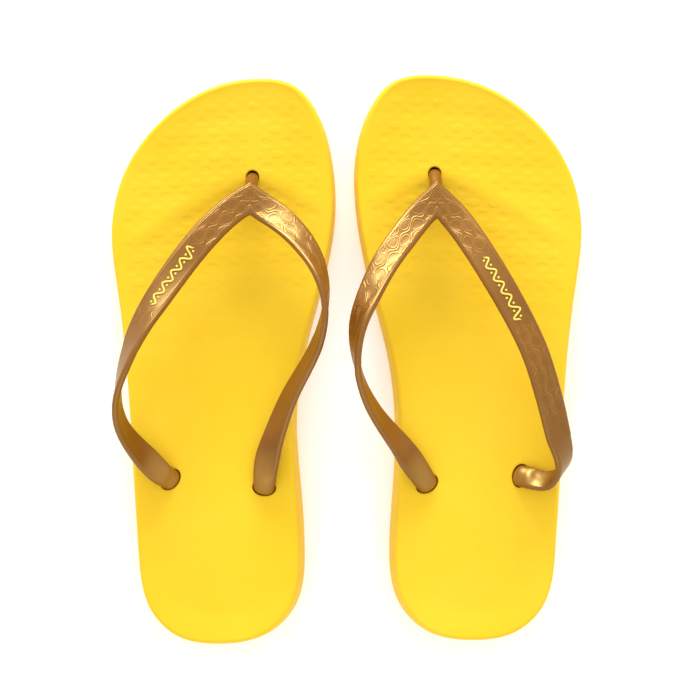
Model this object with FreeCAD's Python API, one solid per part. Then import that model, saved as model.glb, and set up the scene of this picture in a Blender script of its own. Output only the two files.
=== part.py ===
import FreeCAD, Part
import math
import os

# A pair of flip flops standing side by side on the floor, toes towards +Y.
# X runs to the right across the pair, Y towards the toes and Z up, all in millimetres.
# The origin is on the floor, under the middle of the pair's box.
# A shoe is drawn in its own coordinates: u is the distance from the pair's middle plane,
# v runs towards the toes, z up. The right shoe has x = u and the left shoe x = -u.

Vec = FreeCAD.Vector
LEFT = -1
RIGHT = 1

# Pair
STAGGER = 0.8  # each shoe is this far along Y from the pair's middle, the right one ahead

# Sole, a one-piece moulding
SHOE_REACH = 110.0  # more than a shoe's reach from the pair's middle plane
WALL_FLARE = 0.11  # the wall leans in by this much per millimetre of height
BLOCK_TOP = 32.0  # higher than any point of the sole
RIM_WIDTH = 4.5
FLEX_V = 48.0  # the line under the ball of the foot where the sole bends
FLEX_GAP = 0.3
SOLE_OUTLINE = [
    (39.0, 125.0), (22.0, 121.8), (12.3, 110.4), (5.8, 89.0), (4.6, 62.0), (10.2, 32.4),
    (18.6, -1.0), (21.4, -24.5), (19.8, -53.0), (18.0, -84.0), (22.0, -108.0), (36.0, -121.5),
    (55.0, -125.0), (74.0, -121.5), (87.2, -108.0), (92.0, -84.0), (94.0, -53.0), (96.5, -12.0),
    (101.3, 32.4), (103.8, 56.0), (98.4, 82.6), (81.2, 106.8), (60.0, 120.6),
]
TOP_PROFILE = [
    (-132.0, 21.6), (-100.0, 20.9), (-60.0, 19.8), (0.0, 16.8), (48.0, 14.2), (85.0, 14.0), (132.0, 18.9),
]
HEEL_BEVEL_V = -119.0
HEEL_BEVEL_RISE = 1.4
TOE_SPRING_V = 62.0
TOE_SPRING_RATE = 0.00177  # height of the toe spring is this times the distance squared
CUP_DEPTH_HEEL = 2.2
CUP_DEPTH_TOE = 1.0

# Plugs: a stem through the sole and a button in a pocket under it
TOE_HOLE = (40.0, 80.5)
MEDIAL_HOLE = (35.5, -55.0)
LATERAL_HOLE = (76.3, -51.5)
TOE_HOLE_RADIUS = 3.1
TOE_STEM_RADIUS = 2.4
TOE_STEM_BEND_Z = 13.5  # the post leans back from here, just above the footbed
ANCHOR_HOLE_SIZE = (11.0, 5.6)
ANCHOR_STEM_SIZE = (9.4, 4.0)
POCKET_RADIUS = 8.4
BUTTON_RADIUS = 7.6
BUTTON_HEIGHT = 2.4
POCKET_DEPTH = 4.4
BUTTON_CLEARANCE = 0.1
BUTTON_SOFTENING = 0.6
STEM_IN_BUTTON = 1.0
STEM_TOP_ANCHOR = 18.0
STEM_TOP_TOE = 22.2
TOE_POST_TRIM = 0.4  # its top is cut level this far below that height
TOE_POST_SET_FORWARD = 3.6  # how far in front of the strap's middle the post meets it

# Strap: a flat moulded band, widest at the toe and narrowed into its anchors
BAND_WIDTH = 12.4
BAND_THICKNESS = 2.8
BAND_EDGE_RADIUS = 1.1
ARM_END_SIZE = (9.4, 4.0)
ARM_END_Z = 19.3
KNEE_BACK = 1.5  # the arm turns down into its hole through a knee this far back from the hole
KNEE_RISE = 2.3
NECK_LENGTH = 0.12  # share of the arm over which it narrows
SECTIONS_PER_SPAN = 2
MITRE_OVERLAP = 9.0  # each arm runs this far past the mitre before it is cut
STEEP = 0.15  # below this level share of its length, the band keeps its last heading

# Routes of the strap arms, from the toe post to the anchor: (u, v, z, roll).
# roll turns the outer face from up (0) through outboard (90) to down (180), in degrees.
ROUTES = {
    ("left", "medial"): [
        (41.3, 70.5, 25.0, 8), (35.5, 66.5, 26.0, 10), (28.5, 61.5, 29.0, 18),
        (15.8, 47.5, 36.0, 42), (11.2, 38.0, 40.5, 62), (8.7, 25.0, 43.5, 86),
        (10.2, 13.5, 42.5, 102), (14.2, 3.0, 40.0, 112), (23.0, -13.0, 34.5, 120),
        (29.5, -28.5, 29.0, 130), (33.5, -41.0, 25.2, 144), (35.0, -49.0, 23.0, 162),
    ],
    ("left", "lateral"): [
        (41.3, 70.5, 25.0, 8), (47.0, 67.0, 26.0, 8), (55.0, 60.0, 29.5, 10),
        (67.3, 45.5, 35.0, 15), (79.3, 28.0, 40.5, 28), (88.3, 12.5, 44.0, 48),
        (93.3, 0.0, 44.5, 65), (97.3, -16.5, 41.0, 92), (96.0, -27.0, 36.5, 106),
        (91.0, -36.0, 31.0, 125), (84.3, -44.0, 26.2, 146), (79.6, -48.8, 23.2, 164),
    ],
    ("right", "medial"): [
        (39.5, 68.5, 25.0, 8), (33.0, 62.2, 26.5, 8), (26.5, 54.0, 30.0, 10),
        (17.0, 40.5, 36.0, 20), (10.0, 26.5, 41.0, 36), (5.7, 15.0, 44.0, 55),
        (4.6, 0.5, 44.0, 82), (8.0, -14.0, 40.5, 104), (17.5, -30.0, 33.5, 119),
        (23.0, -37.0, 29.8, 133), (28.0, -44.0, 26.0, 148), (32.2, -50.0, 23.0, 164),
    ],
    ("right", "lateral"): [
        (39.5, 68.5, 25.0, 8), (45.6, 62.4, 26.5, 8), (52.0, 54.0, 30.0, 9),
        (63.5, 35.5, 37.0, 14), (74.5, 15.5, 41.0, 18), (80.5, 2.5, 42.0, 18),
        (85.0, -11.0, 41.0, 20), (88.5, -23.5, 39.0, 22), (91.5, -35.0, 36.2, 28),
        (92.8, -43.0, 33.4, 44), (91.0, -50.2, 28.4, 90), (86.6, -53.4, 24.0, 146),
        (81.4, -52.6, 22.7, 174),
    ],
}

# A generic raised wave on the outer face of each lateral arm
MOTIF_START = 0.21  # shares of the arm's length
MOTIF_END = 0.42
MOTIF_WAVES = 5
MOTIF_STEPS = 8  # straight runs in each wave
MOTIF_SWING = 1.9
MOTIF_WIDTH = 1.1
MOTIF_HEIGHT = 1.2
MOTIF_SINK = 0.5  # it starts this far inside the band, which is then cut away from it


def in_pair(side, u, v, z):
    """A shoe's own point in the pair's frame."""
    return Vec(side * u, v + side * STAGGER, z)


def closed_spline(points):
    curve = Part.BSplineCurve()
    curve.interpolate(Points=points, PeriodicFlag=True)
    return Part.Wire([curve.toShape()])


def inset(outline, distance):
    """The outline moved inwards; it runs counter-clockwise in (u, v)."""
    moved = []
    for i, (u, v) in enumerate(outline):
        before = outline[i - 1]
        after = outline[(i + 1) % len(outline)]
        du = after[0] - before[0]
        dv = after[1] - before[1]
        length = math.hypot(du, dv)
        moved.append((u - dv / length * distance, v + du / length * distance))
    return moved


def outline_wire(side, distance, z):
    return closed_spline([in_pair(side, u, v, z) for u, v in inset(SOLE_OUTLINE, distance)])


def outline_block(side, margin):
    """The sole's outline as a block whose walls lean in towards the top."""
    low = outline_wire(side, margin, 0.0)
    high = outline_wire(side, margin + WALL_FLARE * BLOCK_TOP, BLOCK_TOP)
    return Part.makeLoft([low, high], True, True)


def spring(v):
    return TOE_SPRING_RATE * max(0.0, v - TOE_SPRING_V) ** 2


def cup_depth(v):
    share = (v - TOP_PROFILE[0][0]) / (TOP_PROFILE[-1][0] - TOP_PROFILE[0][0])
    return CUP_DEPTH_HEEL + (CUP_DEPTH_TOE - CUP_DEPTH_HEEL) * share


def side_slab(side, lower_edges, upper_points):
    """The region between a lower and an upper side profile, right across one shoe."""
    top = Part.BSplineCurve()
    top.interpolate(Points=[in_pair(side, 0.0, v, z) for v, z in upper_points])
    first = lower_edges[0].Vertexes[0].Point
    last = lower_edges[-1].Vertexes[-1].Point
    back = Part.makeLine(first, top.StartPoint)
    front = Part.makeLine(last, top.EndPoint)
    face = Part.Face(Part.Wire(Part.sortEdges([*lower_edges, front, top.toShape(), back])[0]))
    return face.extrude(Vec(side * SHOE_REACH, 0.0, 0.0))


def sole_lower_edges(side):
    rear = TOP_PROFILE[0][0]
    front = TOP_PROFILE[-1][0]
    middle = (TOE_SPRING_V + front) / 2
    a = in_pair(side, 0.0, rear, HEEL_BEVEL_RISE)
    b = in_pair(side, 0.0, HEEL_BEVEL_V, 0.0)
    c = in_pair(side, 0.0, TOE_SPRING_V, 0.0)
    d = in_pair(side, 0.0, middle, spring(middle))
    e = in_pair(side, 0.0, front, spring(front))
    return [Part.makeLine(a, b), Part.makeLine(b, c), Part.Arc(c, d, e).toShape()]


def footbed_cut(side):
    """What is taken away above the cupped footbed, inside the rim."""
    lower = [(v, z - cup_depth(v)) for v, z in TOP_PROFILE]
    upper = [(v, BLOCK_TOP) for v, z in TOP_PROFILE]
    floor = Part.BSplineCurve()
    floor.interpolate(Points=[in_pair(side, 0.0, v, z) for v, z in lower])
    slab = side_slab(side, [floor.toShape()], upper)
    return outline_block(side, RIM_WIDTH).common(slab)


def oval_prism(size, height):
    """An upright oval bar about the Z axis, long along X, its base at z = 0."""
    length, width = size
    radius = width / 2
    half = length / 2 - radius
    right = Part.Arc(Vec(half, -radius, 0), Vec(half + radius, 0, 0), Vec(half, radius, 0)).toShape()
    left = Part.Arc(Vec(-half, radius, 0), Vec(-half - radius, 0, 0), Vec(-half, -radius, 0)).toShape()
    lower = Part.makeLine(Vec(-half, -radius, 0), Vec(half, -radius, 0))
    upper = Part.makeLine(Vec(half, radius, 0), Vec(-half, radius, 0))
    return Part.Face(Part.Wire([lower, right, upper, left])).extrude(Vec(0, 0, height))


def placed(side, shape, hole, z, turn=0.0):
    """A copy of an upright shape at a hole, turned about Z by degrees."""
    copy = shape.copy()
    copy.rotate(Vec(0, 0, 0), Vec(0, 0, 1), turn)
    copy.translate(in_pair(side, hole[0], hole[1], z))
    return copy


def anchor_turn(shoe, arm):
    """How far the anchor's long side is turned from X: square to the way the arm arrives."""
    side = LEFT if shoe == "left" else RIGHT
    last = ROUTES[shoe, arm][-1]
    hole = MEDIAL_HOLE if arm == "medial" else LATERAL_HOLE
    dx = side * (hole[0] - last[0])
    dy = hole[1] - last[1]
    return math.degrees(math.atan2(dy, dx)) + 90.0


def sole(shoe, side):
    """The whole sole with its footbed, holes and button pockets."""
    solid = outline_block(side, 0.0).common(side_slab(side, sole_lower_edges(side), TOP_PROFILE))
    solid = solid.cut(footbed_cut(side))
    toe = Part.makeCylinder(TOE_HOLE_RADIUS, BLOCK_TOP)
    solid = solid.cut(placed(side, toe, TOE_HOLE, 0.0))
    for arm, hole in (("medial", MEDIAL_HOLE), ("lateral", LATERAL_HOLE)):
        slot = oval_prism(ANCHOR_HOLE_SIZE, BLOCK_TOP)
        solid = solid.cut(placed(side, slot, hole, 0.0, anchor_turn(shoe, arm)))
    pocket = Part.makeCylinder(POCKET_RADIUS, POCKET_DEPTH)
    for hole in (TOE_HOLE, MEDIAL_HOLE, LATERAL_HOLE):
        solid = solid.cut(placed(side, pocket, hole, spring(hole[1])))
        solid = solid.cut(placed(side, pocket, hole, spring(hole[1]) - POCKET_DEPTH / 2))
    return solid


def sole_halves(side, solid):
    """The sole parted across the flex line, with a hair's gap."""
    cut_y = FLEX_V + side * STAGGER
    low = min(side * SHOE_REACH, 0.0)
    length = TOP_PROFILE[-1][0] - TOP_PROFILE[0][0]
    fore = Part.makeBox(SHOE_REACH, length, BLOCK_TOP, Vec(low, cut_y + FLEX_GAP / 2, 0.0))
    rear = Part.makeBox(SHOE_REACH, length, BLOCK_TOP, Vec(low, cut_y - FLEX_GAP / 2 - length, 0.0))
    return solid.common(fore), solid.common(rear)


def button(hole):
    """A round button with a softened rim; its top bears on the pocket's ceiling."""
    disc = Part.makeCylinder(BUTTON_RADIUS, BUTTON_HEIGHT)
    disc = disc.makeFillet(BUTTON_SOFTENING, [e for e in disc.Edges if isinstance(e.Curve, Part.Circle)])
    disc.translate(Vec(0, 0, spring(hole[1]) + POCKET_DEPTH - BUTTON_HEIGHT - BUTTON_CLEARANCE))
    return disc


def anchor(side, shoe, arm):
    hole = MEDIAL_HOLE if arm == "medial" else LATERAL_HOLE
    low = POCKET_DEPTH - BUTTON_CLEARANCE - STEM_IN_BUTTON
    stem = oval_prism(ANCHOR_STEM_SIZE, STEM_TOP_ANCHOR - low)
    stem.translate(Vec(0, 0, low))
    return placed(side, stem.fuse(button(hole)), hole, 0.0, anchor_turn(shoe, arm))


def toe_post(side, shoe):
    """The post between the toes: upright in the sole, then leaning back to the strap."""
    hole_v = TOE_HOLE[1]
    low = spring(hole_v) + POCKET_DEPTH - BUTTON_CLEARANCE - STEM_IN_BUTTON
    stem = Part.makeCylinder(TOE_STEM_RADIUS, TOE_STEM_BEND_Z - low, Vec(0, 0, low))
    foot = in_pair(side, TOE_HOLE[0], hole_v, TOE_STEM_BEND_Z)
    apex_u, apex_v = ROUTES[shoe, "medial"][0][:2]
    head = in_pair(side, apex_u, apex_v + TOE_POST_SET_FORWARD, STEM_TOP_TOE)
    lean = Part.makeCylinder(TOE_STEM_RADIUS, (head - foot).Length, foot, head - foot)
    knee = Part.makeSphere(TOE_STEM_RADIUS, foot)
    upright = placed(side, stem.fuse(button(TOE_HOLE)), TOE_HOLE, 0.0)
    post = upright.fuse([lean, knee])
    reach = 2 * POCKET_RADIUS
    trim = STEM_TOP_TOE - TOE_STEM_BEND_Z - TOE_POST_TRIM
    above = Part.makeBox(2 * reach, 2 * reach, reach, foot + Vec(-reach, -reach, trim))
    return post.cut(above).removeSplitter()


def arm_route(shoe, arm):
    """The arm's centre line as a curve, with the roll at each of its points."""
    side = LEFT if shoe == "left" else RIGHT
    hole = MEDIAL_HOLE if arm == "medial" else LATERAL_HOLE
    stations = ROUTES[shoe, arm]
    points = [in_pair(side, u, v, z) for u, v, z, roll in stations]
    end = in_pair(side, hole[0], hole[1], ARM_END_Z)
    back = Vec(points[-1].x - end.x, points[-1].y - end.y, 0).normalize()
    points.append(end + back * KNEE_BACK + Vec(0, 0, KNEE_RISE))
    points.append(end)
    rolls = [roll for u, v, z, roll in stations] + [176.0, 180.0]
    curve = Part.BSplineCurve()
    curve.interpolate(Points=points)
    knots = [curve.parameter(p) for p in points]
    return curve, knots, rolls


def arm_frame(curve, at, roll, outboard, heading):
    """Centre, width direction and outer normal of the band at a parameter of its curve."""
    tangent = curve.tangent(at)[0]
    level = Vec(tangent.x, tangent.y, 0)
    if level.Length > STEEP:
        heading = level.normalize()
    out = Vec(-heading.y, heading.x, 0) * outboard
    sink = -tangent.z
    up = Vec(0, 0, 1) * math.sqrt(max(0.0, 1 - sink * sink)) + heading * sink
    angle = math.radians(roll)
    wide = out * math.cos(angle) - up * math.sin(angle)
    normal = up * math.cos(angle) + out * math.sin(angle)
    return curve.value(at), wide, normal, heading


def rounded_section(centre, wide, normal, width, thickness, radius):
    """A flat bar's section with round corners, in the plane of wide and normal."""
    w = width / 2
    t = thickness / 2
    r = radius
    bow = r * (1 - math.sqrt(0.5))

    def at(a, b):
        return centre + wide * a + normal * b

    corners = [
        (at(w - r, -t), at(w - bow, -t + bow), at(w, -t + r)),
        (at(w, t - r), at(w - bow, t - bow), at(w - r, t)),
        (at(r - w, t), at(bow - w, t - bow), at(-w, t - r)),
        (at(-w, r - t), at(bow - w, bow - t), at(r - w, -t)),
    ]
    edges = []
    for i, (start, middle, end) in enumerate(corners):
        edges.append(Part.Arc(start, middle, end).toShape())
        edges.append(Part.makeLine(end, corners[(i + 1) % 4][0]))
    return Part.Wire(edges)


def band_size(share):
    """Width and thickness at a share of the arm's length: the last stretch narrows to its end."""
    neck = max(0.0, (share - 1 + NECK_LENGTH) / NECK_LENGTH)
    ease = neck * neck * (3 - 2 * neck)
    width = BAND_WIDTH + (ARM_END_SIZE[0] - BAND_WIDTH) * ease
    thickness = BAND_THICKNESS + (ARM_END_SIZE[1] - BAND_THICKNESS) * ease
    return width, thickness


def arm_stations(shoe, arm):
    """Frames of the band along the arm, several to each span of its route."""
    side = LEFT if shoe == "left" else RIGHT
    outboard = side if arm == "lateral" else -side
    curve, knots, rolls = arm_route(shoe, arm)
    heading = Vec(0, -1, 0)
    frames = []
    for i in range(len(knots) - 1):
        for k in range(SECTIONS_PER_SPAN):
            f = k / SECTIONS_PER_SPAN
            at = knots[i] + (knots[i + 1] - knots[i]) * f
            roll = rolls[i] + (rolls[i + 1] - rolls[i]) * f
            share = curve.length(knots[0], at) / curve.length() if at > knots[0] else 0.0
            *frame, heading = arm_frame(curve, at, roll, outboard, heading)
            frames.append((share, *frame))
    *frame, heading = arm_frame(curve, knots[-1], rolls[-1], outboard, heading)
    frames.append((1.0, *frame))
    return frames


def strap_arm(shoe, arm):
    """One arm of the strap, mitred at the toe against the other."""
    side = LEFT if shoe == "left" else RIGHT
    frames = arm_stations(shoe, arm)
    share, centre, wide, normal = frames[0]
    back = (frames[1][1] - centre).normalize() * -MITRE_OVERLAP
    frames.insert(0, (0.0, centre + back, wide, normal))
    wires = []
    for share, centre, wide, normal in frames:
        width, thickness = band_size(share)
        wires.append(rounded_section(centre, wide, normal, width, thickness, BAND_EDGE_RADIUS))
    band = Part.makeLoft(wires, True, False)
    apex = in_pair(side, ROUTES[shoe, arm][0][0], 0.0, 0.0).x
    outward = side if arm == "lateral" else -side
    low = apex if outward > 0 else apex - SHOE_REACH
    length = TOP_PROFILE[-1][0] - TOP_PROFILE[0][0]
    keep = Part.makeBox(SHOE_REACH, length, 2 * BLOCK_TOP, Vec(low, -length / 2, 0.0))
    return band.common(keep)


def motif(shoe, arm):
    """A raised wave that runs along the outer face of the lateral arm."""
    side = LEFT if shoe == "left" else RIGHT
    curve, knots, rolls = arm_route(shoe, "lateral")
    total = curve.length()
    steps = MOTIF_WAVES * MOTIF_STEPS
    wires = []
    heading = Vec(0, -1, 0)
    for i in range(steps + 1):
        f = i / steps
        at = curve.parameterAtDistance((MOTIF_START + (MOTIF_END - MOTIF_START) * f) * total, knots[0])
        span = max(k for k in range(len(knots) - 1) if knots[k] <= at)
        g = (at - knots[span]) / (knots[span + 1] - knots[span])
        roll = rolls[span] + (rolls[span + 1] - rolls[span]) * g
        centre, wide, normal, heading = arm_frame(curve, at, roll, side, heading)
        phase = 2 * math.pi * MOTIF_WAVES * f
        swing = MOTIF_SWING * math.sin(phase)
        slope = MOTIF_SWING * 2 * math.pi * MOTIF_WAVES * math.cos(phase)
        slope = slope / ((MOTIF_END - MOTIF_START) * total)
        along = curve.tangent(at)[0]
        across = (wide - along * slope).normalize()
        lift = BAND_THICKNESS / 2 + MOTIF_HEIGHT / 2 - MOTIF_SINK
        middle = centre + wide * swing + normal * lift
        half_w = across * (MOTIF_WIDTH / 2)
        half_h = normal * (MOTIF_HEIGHT / 2)
        low = [middle - half_w - half_h, middle + half_w - half_h]
        high = [middle + half_w + half_h, middle - half_w + half_h]
        wires.append(Part.makePolygon([*low, *high, low[0]]))
    return Part.makeLoft(wires, True, True).cut(arm)


def write(name, shape):
    solids = shape.Solids
    print(f"{name:24s} solids {len(solids)} valid {shape.isValid()} volume {shape.Volume:9.1f}")
    solids[0].exportStep(f"parts/{name}.step")


def shoe_parts(shoe, side):
    fore, rear = sole_halves(side, sole(shoe, side))
    lateral = strap_arm(shoe, "lateral")
    return {
        "sole_fore": fore,
        "sole_rear": rear,
        "toe_post": toe_post(side, shoe),
        "anchor_medial": anchor(side, shoe, "medial"),
        "anchor_lateral": anchor(side, shoe, "lateral"),
        "strap_medial": strap_arm(shoe, "medial"),
        "strap_lateral": lateral,
        "strap_motif": motif(shoe, lateral),
    }


os.makedirs("parts", exist_ok=True)
for shoe, side in (("left", LEFT), ("right", RIGHT)):
    for part, shape in shoe_parts(shoe, side).items():
        write(f"{shoe}_{part}", shape)
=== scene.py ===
import math

import bpy
import numpy as np
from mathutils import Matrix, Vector
from mathutils.geometry import delaunay_2d_cdt
from mathutils.kdtree import KDTree


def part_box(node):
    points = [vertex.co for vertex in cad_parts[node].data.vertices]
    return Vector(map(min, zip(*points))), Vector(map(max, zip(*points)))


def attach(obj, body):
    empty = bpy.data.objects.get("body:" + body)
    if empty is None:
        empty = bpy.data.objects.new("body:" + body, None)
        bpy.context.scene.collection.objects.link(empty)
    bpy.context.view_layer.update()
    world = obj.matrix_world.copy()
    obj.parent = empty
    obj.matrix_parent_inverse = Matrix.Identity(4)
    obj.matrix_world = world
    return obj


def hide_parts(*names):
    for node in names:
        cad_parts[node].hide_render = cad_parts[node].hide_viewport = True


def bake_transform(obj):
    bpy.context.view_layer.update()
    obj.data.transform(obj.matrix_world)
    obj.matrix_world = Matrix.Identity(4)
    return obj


# A pair of flip flops, seen from straight above. Meshes are worked out in millimetres in a
# shoe's own coordinates: u is the distance from the pair's middle plane, v runs towards the
# toes, z up. They are written in metres in the shared frame.

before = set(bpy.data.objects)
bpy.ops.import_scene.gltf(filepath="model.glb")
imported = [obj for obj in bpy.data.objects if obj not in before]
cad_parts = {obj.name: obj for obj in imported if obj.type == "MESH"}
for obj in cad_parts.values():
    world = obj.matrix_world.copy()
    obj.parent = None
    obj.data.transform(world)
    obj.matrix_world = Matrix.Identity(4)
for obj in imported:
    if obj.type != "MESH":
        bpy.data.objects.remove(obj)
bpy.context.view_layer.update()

MM = 0.001
STAGGER = 0.8  # each shoe is this far along v from the pair's middle, the right one ahead
SIDES = {"left": -1, "right": 1}

# --- camera, first of all
CAMERA_HEIGHT = 1.0
CAMERA_OVER = (0.0019, 0.0041)
CAMERA_LENS = 115.9


def make_camera():
    data = bpy.data.cameras.new("camera")
    data.lens = CAMERA_LENS
    camera = bpy.data.objects.new("camera", data)
    camera.location = (*CAMERA_OVER, CAMERA_HEIGHT)
    bpy.context.scene.collection.objects.link(camera)
    bpy.context.scene.camera = camera


make_camera()

# --- sizes, in millimetres
SOLE_OUTLINE = [
    (39.0, 125.0), (22.0, 121.8), (12.3, 110.4), (5.8, 89.0), (4.6, 62.0), (10.2, 32.4),
    (18.6, -1.0), (21.4, -24.5), (19.8, -53.0), (18.0, -84.0), (22.0, -108.0), (36.0, -121.5),
    (55.0, -125.0), (74.0, -121.5), (87.2, -108.0), (92.0, -84.0), (94.0, -53.0), (96.5, -12.0),
    (101.3, 32.4), (103.8, 56.0), (98.4, 82.6), (81.2, 106.8), (60.0, 120.6),
]
# The rim's height along the shoe: (v, z)
TOP_PROFILE = [
    (-132.0, 21.6), (-100.0, 20.9), (-60.0, 19.8), (0.0, 16.8), (48.0, 14.2), (85.0, 14.0),
    (132.0, 18.9),
]
PROFILE_REACH = 132  # the profile runs this far both ways along v
WALL_FLARE = 0.11  # the wall leans in by this much per millimetre of height
TOE_SPRING_V = 62.0
TOE_SPRING_RATE = 0.00177  # height of the toe spring is this times the distance squared
HEEL_BEVEL_V = -119.0
HEEL_BEVEL_SLOPE = 0.108
CUP_DEPTH_HEEL = 1.5
CUP_DEPTH_TOE = 0.9
BUTTON_RADIUS = 7.6
BUTTON_CLEARANCE = 0.1  # between a button and the ceiling of its pocket
POCKET_RADIUS = 8.4
POCKET_DEPTH = 4.4
BAND_WIDTH = 12.4
BAND_THICKNESS = 2.8
NOSE_SIZE = (9.5, 6.4)  # an arm's oval end where it enters the footbed
STEM_SIZE = (9.2, 5.6)  # the same inside the sole
ANCHOR_HOLE_SIZE = (10.2, 7.3)
TOE_HOLE_SIZE = (5.6, 6.2)
ARM_END_Z = 19.3
ARMS = ("medial", "lateral")

# The strap arms' centre lines from the toe post to the anchor: (u, v, z, roll in degrees)
ROUTES = {
    ("left", "medial"): [
        (41.3, 70.5, 25.0, 8), (35.5, 66.5, 26.0, 10), (28.5, 61.5, 29.0, 18),
        (15.8, 47.5, 36.0, 42), (11.2, 38.0, 40.5, 62), (8.7, 25.0, 43.5, 86),
        (10.2, 13.5, 42.5, 102), (14.2, 3.0, 40.0, 112), (23.0, -13.0, 34.5, 120),
        (29.5, -28.5, 29.0, 130), (33.5, -41.0, 25.2, 144), (35.0, -49.0, 23.0, 162),
    ],
    ("left", "lateral"): [
        (41.3, 70.5, 25.0, 8), (47.0, 67.0, 26.0, 8), (55.0, 60.0, 29.5, 10),
        (67.3, 45.5, 35.0, 15), (79.3, 28.0, 40.5, 28), (88.3, 12.5, 44.0, 48),
        (93.3, 0.0, 44.5, 65), (97.3, -16.5, 41.0, 92), (96.0, -27.0, 36.5, 106),
        (91.0, -36.0, 31.0, 125), (84.3, -44.0, 26.2, 146), (79.6, -48.8, 23.2, 164),
    ],
    ("right", "medial"): [
        (39.5, 68.5, 25.0, 8), (33.0, 62.2, 26.5, 8), (26.5, 54.0, 30.0, 10),
        (17.0, 40.5, 36.0, 20), (10.0, 26.5, 41.0, 36), (5.7, 15.0, 44.0, 55),
        (4.6, 0.5, 44.0, 82), (8.0, -14.0, 40.5, 104), (17.5, -30.0, 33.5, 119),
        (23.0, -37.0, 29.8, 133), (28.0, -44.0, 26.0, 148), (32.2, -50.0, 23.0, 164),
    ],
    ("right", "lateral"): [
        (39.5, 68.5, 25.0, 8), (45.6, 62.4, 26.5, 8), (52.0, 54.0, 30.0, 9),
        (63.5, 35.5, 37.0, 14), (74.5, 15.5, 41.0, 18), (80.5, 2.5, 42.0, 18),
        (85.0, -11.0, 41.0, 20), (88.5, -23.5, 39.0, 22), (91.5, -35.0, 36.2, 28),
        (93.6, -43.0, 33.4, 42), (92.2, -50.0, 28.4, 84), (86.8, -53.4, 24.2, 126),
        (81.4, -52.6, 22.9, 156),
    ],
}


def in_frame(side, uvz):
    """A shoe's own points in millimetres as frame points in metres."""
    p = np.asarray(uvz, float)
    return np.column_stack([side * p[:, 0], p[:, 1] + side * STAGGER, p[:, 2]]) * MM


TOE_HOLE_NUDGE = {"left": 0.8, "right": -1.0}


def hole_of(shoe, node):
    """The middle of a plug's hole, from its button in the frame, as (u, v)."""
    side = SIDES[shoe]
    low, high = (np.array(c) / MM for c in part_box(f"{shoe}_{node}"))
    v = high[1] - BUTTON_RADIUS - side * STAGGER
    u = side * (low[0] + high[0]) / 2
    if node == "toe_post":
        u += TOE_HOLE_NUDGE[shoe]
    return u, v


# --- mathematics
def smooth(low, high, x):
    t = np.clip((x - low) / (high - low), 0, 1)
    return t * t * (3 - 2 * t)


def bell(x, width):
    return np.exp(-((x / width) ** 2))


def round_angles(count):
    return np.linspace(0, 2 * math.pi, count, endpoint=False)


class Curve:
    """A smooth cubic spline through points, by chord length; closed if asked."""

    def __init__(self, points, closed=False):
        p = np.array(points, float)
        if closed:
            p = np.vstack([p, p[:1]])
        h = np.linalg.norm(np.diff(p[:, :3], axis=0), axis=1)
        n = len(p)
        a = np.zeros((n, n))
        b = np.zeros((n, p.shape[1]))
        chord = np.diff(p, axis=0) / h[:, None] ** 2
        for i in range(1, n - 1):
            a[i, i - 1 : i + 2] = 1 / h[i - 1], 2 / h[i - 1] + 2 / h[i], 1 / h[i]
            b[i] = 3 * (chord[i - 1] + chord[i])
        if closed:
            a[0, 0], a[0, 1], a[0, n - 2] = 2 / h[-1] + 2 / h[0], 1 / h[0], 1 / h[-1]
            b[0] = 3 * (chord[-1] + chord[0])
            a[n - 1, n - 1], a[n - 1, 0] = 1, -1
        else:
            a[0, :2] = 2 / h[0], 1 / h[0]
            b[0] = 3 * chord[0]
            a[n - 1, n - 2 :] = 1 / h[-1], 2 / h[-1]
            b[n - 1] = 3 * chord[-1]
        self.p = p
        self.h = h
        self.m = np.linalg.solve(a, b)
        self.knots = np.concatenate([[0], np.cumsum(h)])
        self.length = self.knots[-1]

    def _span(self, t):
        i = np.clip(np.searchsorted(self.knots, t, side="right") - 1, 0, len(self.h) - 1)
        h = self.h[i][:, None]
        return i, h, ((t - self.knots[i])[:, None]) / h

    def at(self, t):
        i, h, x = self._span(np.asarray(t, float))
        return (
            self.p[i] * (2 * x**3 - 3 * x**2 + 1)
            + self.m[i] * h * (x**3 - 2 * x**2 + x)
            + self.p[i + 1] * (3 * x**2 - 2 * x**3)
            + self.m[i + 1] * h * (x**3 - x**2)
        )

    def slope(self, t):
        i, h, x = self._span(np.asarray(t, float))
        return (
            (self.p[i] - self.p[i + 1]) / h * (6 * x**2 - 6 * x)
            + self.m[i] * (3 * x**2 - 4 * x + 1)
            + self.m[i + 1] * (3 * x**2 - 2 * x)
        )


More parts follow.
